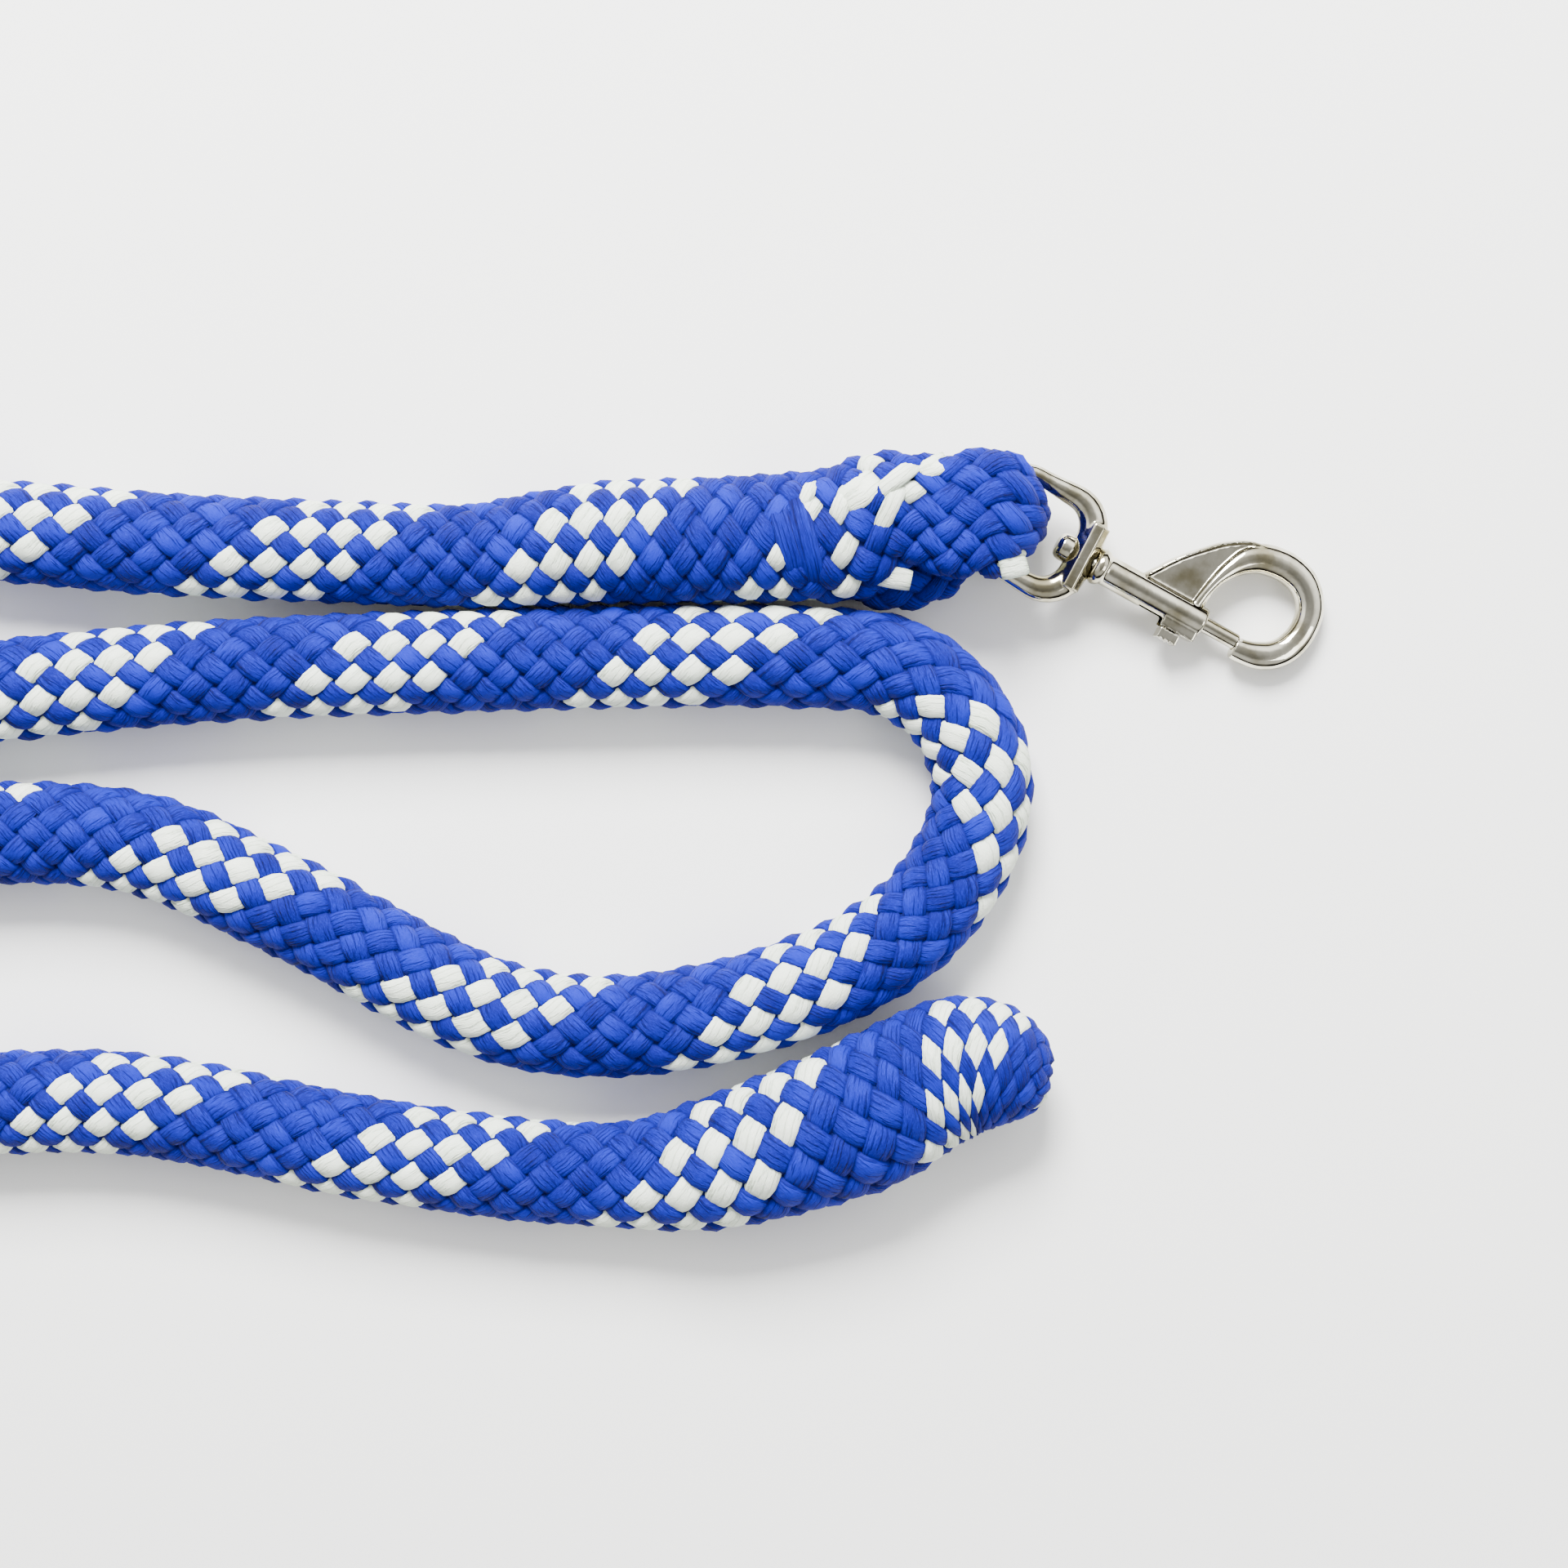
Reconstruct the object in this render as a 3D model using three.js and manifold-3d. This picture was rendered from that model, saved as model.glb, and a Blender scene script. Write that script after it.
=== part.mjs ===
// Braided lead rope with a swivel bolt snap, lying on a flat surface.
// Millimetres, +Z up. The rope rests on z = 0, and the origin is the middle of the whole lead's footprint.
// The rope is one length of hollow braid: its eye is tucked back into itself round the snap's ring,
// and its free end is turned back into itself, which makes both ends thicker than the rope between.

import * as THREE from 'three';
import { mergeVertices } from 'three/addons/utils/BufferGeometryUtils.js';
import Module from 'manifold-3d';

const wasm = await Module();
wasm.setup();

// Clearances
const gap = 0.3; // between pieces that meet or slide
const tailGap = 0.5; // round a tucked tail
const overshoot = 2; // how far a cutter runs past the face it leaves by

// Rope
const ropeWidth = 25; // across, lying a little flattened
const ropeHeight = 21;
const ropeSteps = 80;
const ropeSides = 12;
const sleeveSides = 16;
const sleeveStep = 8; // length between the rings of a swollen stretch

// Swollen stretch beside the eye, where the tail is buried
const spliceLength = 96;
const spliceWidth = 30;
const spliceHeight = 25.2;
const mouthWidth = 35; // where the two legs of the eye part
const mouthHeight = 26;
const tailWidth = 17;
const tailHeight = 13;
const tailTip = 0.45; // share of the tail's section left at its buried end
const tailLength = 78;

// Swollen free end, with the tucked end inside
const endLength = 108;
const endWidth = 36.8;
const endHeight = 28;
const tuckWidth = 18;
const tuckHeight = 14;
const tuckLength = 72;
const tuckToTip = 12; // solid braid left at the tip

// Eye of rope round the ring's bar
const legThickness = 11.3; // flattened where it turns
const legWidth = 29;
const eyeStations = 30;
const legReach = 13; // how far each leg runs straight from the mouth and from the bar
const legAtMouth = 0.94; // shares of the leg's width at the mouth and beside the bar
const legAtBar = 0.82;
const legBelly = 0.18; // share it swells by halfway
const foldPinch = 6; // how suddenly the fold narrows between the ring's sides

// Swivel eye
const wireRadius = 2.25;
const ringInnerWidth = 20;
const barToBoss = 21.7; // bar's axis to the boss's inner face
const barCorner = 6; // centreline radius of the corners beside the bar
const bossCorner = 8;
const bossLength = 6.1;
const bossWidth = 15;
const bossHeight = 7.5;
const bossChamfer = 1.2;
const cornerRoom = 1.8; // extra room in the rope beside the ring's corners
const ringSteps = 48;
const wireSides = 12;

// Swivel stud
const studRadius = 1.8;
const studHeadRadius = 3.5;
const studHeadLength = 3.6;
const headCrown = 1.1; // length of the head's peened edge
const headFlat = 2.45; // radius left flat on its end
const plugLength = 6.6; // the part inside the barrel

// Hook body
const barrelRadius = 3.9;
const barrelLength = 31.3; // with its collar
const collarRadius = 4.75;
const collarLength = 3.3;
const collarRound = 1.2;
const mouthChamfer = 0.5;
const webThickness = 4;
const keelBack = 9.8; // rear end of the keel behind the barrel's mouth
const keelFront = 0.5;
const keelDrop = 5.5; // keel's edge below the barrel's axis
const keelHalfWidth = 2.6;
const pocketDepth = 1.1;

// Bolt, knob and spring
const boltRadius = 2;
const boltLength = 20.5;
const boltSeat = 0.5; // how far the shut bolt enters the hook's tip
const boltTravel = 8.4;
const boltChamfer = 0.4;
const knobBack = 6.6; // knob's centre behind the barrel's mouth, shut
const stemRadius = 1.3;
const spigotRadius = 0.8;
const spigotDepth = 0.8; // spigot's end beyond the bolt's axis
const knobLength = 5.2;
const knobThickness = 2.6;
const knobWidth = 4.4;
const knobRound = 0.6;
const springWire = 0.25;
const springTurns = 8;
const springStepsPerTurn = 10;
const springSides = 6;

// Where the snap lies: the bar's axis on the ground plan, and the snap's heading from it
const barX = 165.6;
const barY = 72.9;
const heading = -28 * Math.PI / 180;

// Rope's centreline on the surface, from the eye to the free end
const routePoints = [
  [132.5, 66.7], [98.5, 65.3], [70.5, 64.7], [40.5, 61.7], [6.5, 62.5], [-51.5, 65.5],
  [-127.5, 74.3], [-202.3, 90.9], [-227.1, 80.5], [-237.3, 55.7], [-227.1, 30.9],
  [-202.3, 20.5], [-101.5, 26.5], [-29.5, 33.1], [54.5, 36.3], [122.5, 36.7], [142.5, 33.9],
  [156.1, 24.1], [162.9, 7.7], [159.3, -10.3], [144.5, -29.9], [115.5, -45.1], [76.5, -53.3],
  [44.5, -49.9], [-9.5, -22.9], [-45.5, -8.3], [-101.5, -6.5], [-201.5, -8.3], [-225.5, -18.3],
  [-235.5, -42.1], [-225.5, -65.9], [-201.5, -75.9], [-89.5, -72.5], [-43.5, -72.7],
  [14.5, -83.7], [62.5, -89.5], [88.5, -88.7], [130.5, -76.1], [158.5, -62.9], [179.1, -65.8],
];

// Hook's centreline from its tip back to the barrel, from the barrel's mouth, with the metal's radius
const hookStations = [
  [9.4, -1.5, 2.8], [12.5, -1.2, 3.1], [15.8, -0.4, 3.5], [19.1, 1.4, 3.6], [21.5, 4.2, 3.6],
  [22.9, 7.8, 3.5], [23.2, 11.7, 3.4], [22.5, 15.3, 3.5], [20.6, 18.4, 3.6], [17.2, 21.0, 3.8],
  [12.8, 22.1, 3.9], [8.8, 21.9, 3.9], [5.0, 20.8, 3.9], [1.8, 18.4, 3.6], [-0.5, 15.0, 3.0],
  [-2.0, 11.0, 2.5], [-2.8, 6.8, 2.2], [-3.0, 3.2, 2.1],
];
const hookRings = 44;
const hookSides = 16;

// Web's outline between barrel and hook, from the barrel's mouth
const webPoints = [
  [-18.2, 2.0], [-18.1, 3.8], [-12.7, 11.6], [-7.8, 16.8], [-4.4, 19.9], [-0.6, 22.4],
  [3.2, 21.8], [0.4, 15.8], [-1.5, 9.5], [-2.4, 2.0],
];

const up = new THREE.Vector3(0, 0, 1);

// Materials

function braidMaterial() {
  return new THREE.MeshStandardMaterial({ color: 0x3048c4, roughness: 0.75, metalness: 0 });
}

function tailMaterial() {
  return new THREE.MeshStandardMaterial({ color: 0x2a3fae, roughness: 0.8, metalness: 0 });
}

function nickelMaterial() {
  return new THREE.MeshStandardMaterial({ color: 0xc9c6ba, roughness: 0.16, metalness: 1 });
}

function steelMaterial() {
  return new THREE.MeshStandardMaterial({ color: 0xb8b9bb, roughness: 0.3, metalness: 1 });
}

// Solids

// A closed skin through rings of points; its ends are capped unless the last ring joins the first.
function skin(rings, joined = false) {
  const sides = rings[0].length;
  const positions = rings.flat().flatMap((p) => [p.x, p.y, p.z]);
  const faces = [];
  const bands = joined ? rings.length : rings.length - 1;
  for (let i = 0; i < bands; i += 1) {
    const near = i * sides;
    const far = ((i + 1) % rings.length) * sides;
    for (let j = 0; j < sides; j += 1) {
      const k = (j + 1) % sides;
      faces.push(near + j, near + k, far + k, near + j, far + k, far + j);
    }
  }
  if (!joined) {
    const last = (rings.length - 1) * sides;
    for (let j = 1; j < sides - 1; j += 1) {
      faces.push(0, j + 1, j, last, last + j, last + j + 1);
    }
  }
  const geometry = new THREE.BufferGeometry();
  geometry.setAttribute('position', new THREE.Float32BufferAttribute(positions, 3));
  geometry.setIndex(faces);
  geometry.computeVertexNormals();
  return geometry;
}

// A ring round centre in the plane of side and rise, with flats at its full width and height.
function ring(centre, side, rise, width, height, sides) {
  const reach = 1 / Math.cos(Math.PI / sides);
  return Array.from({ length: sides }, (_, j) => {
    const angle = (j + 0.5) * 2 * Math.PI / sides;
    return centre.clone()
      .addScaledVector(side, reach * Math.cos(angle) * width / 2)
      .addScaledVector(rise, reach * Math.sin(angle) * height / 2);
  });
}

function toSolid(geometry) {
  const bare = geometry.clone();
  bare.deleteAttribute('normal');
  bare.deleteAttribute('uv');
  const merged = mergeVertices(bare, 1e-4);
  return new wasm.Manifold(new wasm.Mesh({
    numProp: 3,
    vertProperties: new Float32Array(merged.attributes.position.array),
    triVerts: new Uint32Array(merged.index.array),
  }));
}

function toGeometry(solid) {
  const mesh = solid.getMesh();
  const geometry = new THREE.BufferGeometry();
  geometry.setAttribute('position', new THREE.BufferAttribute(mesh.vertProperties, 3));
  geometry.setIndex(new THREE.BufferAttribute(mesh.triVerts, 1));
  geometry.computeVertexNormals();
  return geometry;
}

function cut(body, ...tools) {
  return toGeometry(tools.reduce((solid, tool) => solid.subtract(toSolid(tool)), toSolid(body)));
}

function join(...bodies) {
  const [first, ...rest] = bodies.map(toSolid);
  return toGeometry(rest.reduce((solid, body) => solid.add(body), first));
}

// A turned piece along +X from its [x, radius] profile; the profile starts and ends on the axis.
function turned(profile, segments = 28) {
  const points = profile.map(([x, radius]) => new THREE.Vector2(radius, x));
  return new THREE.LatheGeometry(points, segments).rotateZ(-Math.PI / 2);
}

function rod(from, to, radius, segments = 24) {
  return turned([[from, 0], [from, radius], [to, radius], [to, 0]], segments);
}

// A rod across the barrel, along -Y.
function crossRod(x, fromY, toY, radius) {
  return rod(-fromY, -toY, radius, 16).rotateZ(-Math.PI / 2).translate(x, 0, 0);
}

function block(lowX, highX, lowY, highY, halfWidth) {
  return new THREE.BoxGeometry(highX - lowX, highY - lowY, 2 * halfWidth)
    .translate((lowX + highX) / 2, (lowY + highY) / 2, 0);
}

// Rope

const route = new THREE.CatmullRomCurve3(routePoints.map(([x, y]) => new THREE.Vector3(x, y, 0)));
route.arcLengthDivisions = 2000;
const routeLength = route.getLength();

// Point and level side direction at a length along the route, running straight past its ends.
function routeFrame(length) {
  const share = THREE.MathUtils.clamp(length / routeLength, 0, 1);
  const tangent = route.getTangentAt(share);
  const centre = route.getPointAt(share).addScaledVector(tangent, length - share * routeLength);
  return { centre, tangent, side: up.clone().cross(tangent) };
}

// Straight-line reading of a list of [at, ...values] rows.
function reading(rows, at) {
  const last = rows.findIndex((row) => row[0] >= at);
  if (last <= 0) return (last === 0 ? rows[0] : rows[rows.length - 1]).slice(1);
  const [low, high] = [rows[last - 1], rows[last]];
  const share = (at - low[0]) / (high[0] - low[0]);
  return low.slice(1).map((value, i) => THREE.MathUtils.lerp(value, high[i + 1], share));
}

// Skin along the route between two lengths; sizeAt gives width, height and the middle's height.
function alongRoute(from, to, sizeAt) {
  const count = Math.ceil((to - from) / sleeveStep);
  const rings = Array.from({ length: count + 1 }, (_, i) => {
    const at = THREE.MathUtils.lerp(from, to, i / count);
    const { centre, side } = routeFrame(at);
    const [width, height, middle] = sizeAt(at);
    return ring(centre.setZ(middle), side, up, width, height, sleeveSides);
  });
  return skin(rings);
}

// The rope's centreline between two lengths, with level frames so that the rope lies flat.
class RopeSpan extends THREE.Curve {
  constructor(from, to) {
    super();
    this.from = from;
    this.to = to;
  }

  getPoint(share) {
    return routeFrame(THREE.MathUtils.lerp(this.from, this.to, share)).centre.setZ(ropeHeight / 2);
  }

  computeFrenetFrames(steps) {
    const frames = Array.from({ length: steps + 1 }, (_, i) => (
      routeFrame(THREE.MathUtils.lerp(this.from, this.to, i / steps))));
    return {
      tangents: frames.map((frame) => frame.tangent),
      normals: frames.map((frame) => frame.side),
      binormals: frames.map(() => up.clone()),
    };
  }
}

function ropeRun() {
  const flat = ring(new THREE.Vector3(), new THREE.Vector3(1, 0, 0), new THREE.Vector3(0, 1, 0),
    ropeWidth, ropeHeight, ropeSides);
  const section = new THREE.Shape(flat.map((p) => new THREE.Vector2(p.x, p.y)));
  const extrudePath = new RopeSpan(spliceLength + gap, routeLength - endLength - gap);
  return new THREE.ExtrudeGeometry(section, { steps: ropeSteps, extrudePath });
}

// Outer size of the swollen stretch beside the eye, from the eye's mouth.
const spliceProfile = [
  [0, mouthWidth, mouthHeight],
  [spliceLength * 0.12, spliceWidth, spliceHeight],
  [spliceLength * 0.62, spliceWidth, spliceHeight],
  [spliceLength, ropeWidth, ropeHeight],
];

function tailSize(at, length, width, height, grown) {
  const share = THREE.MathUtils.lerp(1, tailTip, THREE.MathUtils.clamp(at / length, 0, 1));
  return [width * share + 2 * grown, height * share + 2 * grown];
}

function spliceSleeve() {
  const outer = alongRoute(0, spliceLength, (at) => {
    const [width, height] = reading(spliceProfile, at);
    return [width, height, height / 2];
  });
  const bore = alongRoute(-overshoot, spliceLength + overshoot, (at) => (
    [...tailSize(at, tailLength, tailWidth, tailHeight, tailGap), reading(spliceProfile, at)[1] / 2]));
  return cut(outer, bore);
}

function buriedTail() {
  return alongRoute(gap, tailLength, (at) => (
    [...tailSize(at, tailLength, tailWidth, tailHeight, 0), reading(spliceProfile, at)[1] / 2]));
}

// Outer size of the free end, by distance from its tip; the shares round the tip off.
const endShares = [[0, 0.26], [2.6, 0.53], [8.6, 0.81], [17, 0.95], [26, 1], [60, 1], [88, 0.87]];
const endProfile = [
  ...endShares.map(([fromTip, share]) => [fromTip, endWidth * share, endHeight * share]),
  [endLength, ropeWidth, ropeHeight],
];

// Height of the free end's middle: level behind its rounded tip.
function endLevel(fromTip) {
  return fromTip < endLength / 2 ? endHeight / 2 : reading(endProfile, fromTip)[1] / 2;
}

function endSleeve() {
  const stations = endProfile.map(([fromTip]) => fromTip).reverse();
  const rings = stations.map((fromTip) => {
    const { centre, side } = routeFrame(routeLength - fromTip);
    const [width, height] = reading(endProfile, fromTip);
    return ring(centre.setZ(endLevel(fromTip)), side, up, width, height, sleeveSides);
  });
  const start = routeLength - endLength;
  const bore = alongRoute(start - overshoot, routeLength - tuckToTip, (at) => (
    [tuckWidth + 2 * tailGap, tuckHeight + 2 * tailGap, endLevel(routeLength - at)]));
  return cut(skin(rings), bore);
}

function tuckedEnd() {
  const stop = routeLength - tuckToTip - tailGap;
  return alongRoute(stop - tuckLength, stop, (at) => (
    [...tailSize(stop - at, tuckLength, tuckWidth, tuckHeight, 0), endLevel(routeLength - at)]));
}

// Eye of rope: an upper leg from the splice, a fold through the ring and a lower leg back

const barHole = wireRadius + gap;
const barHeight = barHole + legThickness + gap;
const ahead = new THREE.Vector3(Math.cos(heading), Math.sin(heading), 0);
const barLine = up.clone().cross(ahead);
const bar = new THREE.Vector3(barX, barY, barHeight);
const foldWidth = ringInnerWidth - 4 * gap;

function legCurve(levelAtMouth, levelAtBar) {
  const { centre, tangent } = routeFrame(-gap);
  const start = centre.setZ(levelAtMouth);
  const finish = bar.clone().setZ(levelAtBar);
  return new THREE.CubicBezierCurve3(
    start,
    start.clone().addScaledVector(tangent, -legReach),
    finish.clone().addScaledVector(ahead, -legReach),
    finish,
  );
}

function eyeLoop() {
  const turnRadius = barHole + legThickness / 2;
  const mouthLeg = (mouthHeight - 2 * gap) / 2;
  const highLevel = mouthHeight - mouthLeg / 2;
  const upper = legCurve(highLevel, barHeight + turnRadius);
  const lower = legCurve(mouthHeight - highLevel, barHeight - turnRadius);
  const mouthSide = routeFrame(0).side.negate();
  const third = eyeStations / 3;
  const rings = Array.from({ length: eyeStations + 1 }, (_, i) => {
    if (i > third && i < 2 * third) {
      const turn = (0.5 - (i - third) / third) * Math.PI;
      const outward = ahead.clone().multiplyScalar(Math.cos(turn)).addScaledVector(up, Math.sin(turn));
      const spread = Math.abs(Math.sin(turn)) ** foldPinch;
      const width = THREE.MathUtils.lerp(foldWidth, legWidth * legAtBar, spread);
      const centre = bar.clone().addScaledVector(outward, turnRadius);
      return ring(centre, barLine, outward, width, legThickness, sleeveSides);
    }
    const isUpper = i <= third;
    const share = isUpper ? i / third : (eyeStations - i) / third;
    const curve = isUpper ? upper : lower;
    const forward = curve.getTangent(share).multiplyScalar(isUpper ? 1 : -1);
    const side = mouthSide.clone().lerp(barLine, share);
    side.addScaledVector(forward, -side.dot(forward)).normalize();
    const belly = Math.sin(Math.PI * share) * legBelly;
    const width = legWidth * (THREE.MathUtils.lerp(legAtMouth, legAtBar, share) + belly);
    const thickness = THREE.MathUtils.lerp(mouthLeg, legThickness, Math.sqrt(share));
    return ring(curve.getPoint(share), side, forward.cross(side), width, thickness, sleeveSides);
  });
  return cut(skin(rings), barBobbin());
}

// Room for the bar and the ring's corners as the ring tilts in the eye.
function barBobbin() {
  const half = ringInnerWidth / 2;
  const straight = half + wireRadius - barCorner;
  const flare = barHole + cornerRoom;
  const profile = [
    [-2 * half, 0], [-2 * half, 2 * flare], [-half, flare], [-straight, barHole],
    [straight, barHole], [half, flare], [2 * half, 2 * flare], [2 * half, 0],
  ];
  return turned(profile).rotateZ(heading + Math.PI / 2).translate(bar.x, bar.y, bar.z);
}

// Swivel eye, in the snap's frame: +X from the bar's axis to the hook, +Y to the hook's side

const halfRing = ringInnerWidth / 2 + wireRadius;
const bossMiddle = barToBoss + bossLength / 2;
const bossFace = barToBoss + bossLength;

function ringPath() {
  const path = new THREE.Path();
  path.moveTo(0, -halfRing + barCorner);
  path.absarc(barCorner, halfRing - barCorner, barCorner, Math.PI, Math.PI / 2, true);
  path.absarc(bossMiddle - bossCorner, halfRing - bossCorner, bossCorner, Math.PI / 2, 0, true);
  path.absarc(bossMiddle - bossCorner, -halfRing + bossCorner, bossCorner, 0, -Math.PI / 2, true);
  path.absarc(barCorner, -halfRing + barCorner, barCorner, -Math.PI / 2, -Math.PI, true);
  return path;
}

function ringWire() {
  const points = ringPath().getSpacedPoints(ringSteps).slice(0, ringSteps);
  const rings = points.map((p, i) => {
    const before = points[(i + ringSteps - 1) % ringSteps];
    const after = points[(i + 1) % ringSteps];
    const side = new THREE.Vector3(before.y - after.y, after.x - before.x, 0).normalize();
    const centre = new THREE.Vector3(p.x, p.y, 0);
    return ring(centre, side, up, 2 * wireRadius, 2 * wireRadius, wireSides);
  });
  return skin(rings, true);
}

function boss() {
  const x = bossLength / 2;
  const z = bossHeight / 2;
  const outline = [
    [x, z - bossChamfer], [x - bossChamfer, z], [bossChamfer - x, z], [-x, z - bossChamfer],
    [-x, bossChamfer - z], [bossChamfer - x, -z], [x - bossChamfer, -z], [x, bossChamfer - z],
  ];
  const shape = new THREE.Shape(outline.map(([a, b]) => new THREE.Vector2(a, b)));
  return new THREE.ExtrudeGeometry(shape, { depth: bossWidth, bevelEnabled: false })
    .rotateX(Math.PI / 2)
    .translate(bossMiddle, bossWidth / 2, 0);
}

function swivelEye() {
  const hole = rod(barToBoss - overshoot, bossFace + overshoot, studRadius + gap);
  return cut(join(ringWire(), boss()), hole);
}

// Stud: a peened head inside the eye, a shank through its boss and a plug in the barrel.
const bodyStart = bossFace + gap;
const boreRadius = boltRadius + gap;
const mouth = bodyStart + barrelLength;

function swivelStud() {
  const headFace = barToBoss - gap;
  return turned([
    [headFace - studHeadLength, 0],
    [headFace - studHeadLength, headFlat],
    [headFace - studHeadLength + headCrown, studHeadRadius],
    [headFace, studHeadRadius],
    [headFace, studRadius],
    [bodyStart, studRadius],
    [bodyStart, boltRadius],
    [bodyStart + plugLength, boltRadius],
    [bodyStart + plugLength, 0],
  ]);
}

// Hook body

function barrel() {
  const neck = bodyStart + collarLength;
  return turned([
    [bodyStart, 0],
    [bodyStart, collarRadius - collarRound],
    [bodyStart + collarRound * 0.4, collarRadius - collarRound * 0.3],
    [bodyStart + collarLength / 2, collarRadius],
    [neck - collarRound * 0.4, collarRadius - collarRound * 0.3],
    [neck, barrelRadius],
    [mouth - mouthChamfer, barrelRadius],
    [mouth, barrelRadius - mouthChamfer],
    [mouth, 0],
  ], 32);
}

const hookCurve = new THREE.CatmullRomCurve3(hookStations.map(([x, y]) => (
  new THREE.Vector3(mouth + x, y, 0))));
const hookTip = mouth + hookStations[0][0];

function hook() {
  const radii = hookStations.map(([, , radius], i) => [i / (hookStations.length - 1), radius]);
  const rings = Array.from({ length: hookRings + 1 }, (_, i) => {
    const share = i / hookRings;
    const side = up.clone().cross(hookCurve.getTangent(share)).normalize();
    const [radius] = reading(radii, share);
    return ring(hookCurve.getPoint(share), side, up, 2 * radius, 2 * radius, hookSides);
  });
  return skin(rings);
}

function web() {
  const shape = new THREE.Shape(webPoints.map(([x, y]) => new THREE.Vector2(mouth + x, y)));
  return new THREE.ExtrudeGeometry(shape, { depth: webThickness, bevelEnabled: false })
    .translate(0, 0, -webThickness / 2);
}

const slotFront = mouth - knobBack + stemRadius + gap;
const slotBack = mouth - knobBack - stemRadius - boltTravel - gap;

function hookBody() {
  const keel = block(mouth - keelBack, mouth - keelFront, -keelDrop, -barrelRadius / 2, keelHalfWidth);
  const bore = rod(bodyStart - overshoot, mouth + overshoot, boreRadius);
  const slot = block(slotBack, slotFront, -keelDrop - overshoot, -boltRadius / 2, stemRadius + gap);
  const pocket = rod(hookTip - overshoot, hookTip + pocketDepth, boreRadius);
  return cut(join(barrel(), web(), hook(), keel), bore, slot, pocket);
}

// Bolt, with a cross hole that takes the knob's spigot

const boltTip = hookTip + boltSeat;
const knobX = mouth - knobBack;

function bolt() {
  const pin = turned([
    [boltTip - boltLength, 0],
    [boltTip - boltLength, boltRadius],
    [boltTip - boltChamfer, boltRadius],
    [boltTip, boltRadius - boltChamfer],
    [boltTip, 0],
  ]);
  return cut(pin, crossRod(knobX, spigotDepth + gap, -boltRadius - overshoot, spigotRadius + gap));
}

function thumbKnob() {
  const stemStart = -boltRadius - gap;
  const headStart = -keelDrop - gap;
  const spigot = crossRod(knobX, spigotDepth, stemStart - gap, spigotRadius);
  const stem = crossRod(knobX, stemStart, headStart - gap, stemRadius);
  const x = knobLength / 2 - knobRound;
  const z = knobWidth / 2 - knobRound;
  const outline = new THREE.Shape();
  outline.absarc(x, z, knobRound, 0, Math.PI / 2);
  outline.absarc(-x, z, knobRound, Math.PI / 2, Math.PI);
  outline.absarc(-x, -z, knobRound, Math.PI, Math.PI * 1.5);
  outline.absarc(x, -z, knobRound, Math.PI * 1.5, Math.PI * 2);
  const head = new THREE.ExtrudeGeometry(outline, {
    depth: knobThickness, bevelEnabled: false, curveSegments: 3,
  }).rotateX(Math.PI / 2).translate(knobX, headStart, 0);
  return join(spigot, stem, head);
}

function boltSpring() {
  const start = bodyStart + plugLength + gap + springWire;
  const finish = boltTip - boltLength - gap - springWire;
  const coilRadius = boltRadius - springWire;
  const count = springTurns * springStepsPerTurn;
  const back = new THREE.Vector3(-1, 0, 0);
  const rings = Array.from({ length: count + 1 }, (_, i) => {
    const angle = i / springStepsPerTurn * 2 * Math.PI;
    const outward = new THREE.Vector3(0, Math.cos(angle), Math.sin(angle));
    const centre = outward.clone().multiplyScalar(coilRadius);
    centre.x = THREE.MathUtils.lerp(start, finish, i / count);
    return ring(centre, outward, back, 2 * springWire, 2 * springWire, springSides);
  });
  return skin(rings);
}

// Assembly

function piece(name, geometry, material) {
  const mesh = new THREE.Mesh(geometry, material);
  mesh.name = name;
  return mesh;
}

const group = new THREE.Group();
group.add(
  piece('rope_run', ropeRun(), braidMaterial()),
  piece('splice_sleeve', spliceSleeve(), braidMaterial()),
  piece('buried_tail', buriedTail(), tailMaterial()),
  piece('eye_loop', eyeLoop(), braidMaterial()),
  piece('end_sleeve', endSleeve(), braidMaterial()),
  piece('tucked_end', tuckedEnd(), tailMaterial()),
);

// The snap slopes down from the bar until its hook rests on the surface.
const reachStation = hookStations.reduce((far, station) => (station[0] > far[0] ? station : far));
const pitch = Math.asin((barHeight - reachStation[2] - gap / 2) / (mouth + reachStation[0]));
const snap = new THREE.Group();
snap.position.copy(bar);
snap.rotation.set(0, pitch, heading, 'ZYX');
snap.add(
  piece('swivel_eye', swivelEye(), nickelMaterial()),
  piece('swivel_stud', swivelStud(), nickelMaterial()),
  piece('hook_body', hookBody(), nickelMaterial()),
  piece('bolt', bolt(), nickelMaterial()),
  piece('thumb_knob', thumbKnob(), nickelMaterial()),
  piece('bolt_spring', boltSpring(), steelMaterial()),
);
group.add(snap);

export default group;
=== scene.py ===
import math

import bpy
import bmesh
import numpy as np
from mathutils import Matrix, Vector


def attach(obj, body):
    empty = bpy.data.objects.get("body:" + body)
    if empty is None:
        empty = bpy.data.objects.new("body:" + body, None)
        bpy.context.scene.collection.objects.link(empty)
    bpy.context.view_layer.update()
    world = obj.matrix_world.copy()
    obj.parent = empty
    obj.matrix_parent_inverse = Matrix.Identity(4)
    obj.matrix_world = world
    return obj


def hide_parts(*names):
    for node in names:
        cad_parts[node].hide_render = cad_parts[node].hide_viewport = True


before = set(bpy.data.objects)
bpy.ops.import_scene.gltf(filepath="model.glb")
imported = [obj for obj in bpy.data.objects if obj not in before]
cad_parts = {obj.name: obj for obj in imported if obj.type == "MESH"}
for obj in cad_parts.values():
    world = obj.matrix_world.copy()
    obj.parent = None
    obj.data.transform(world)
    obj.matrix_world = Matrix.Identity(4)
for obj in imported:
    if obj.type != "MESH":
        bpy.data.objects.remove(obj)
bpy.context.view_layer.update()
print("frame loaded")

mm = 0.001

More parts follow.
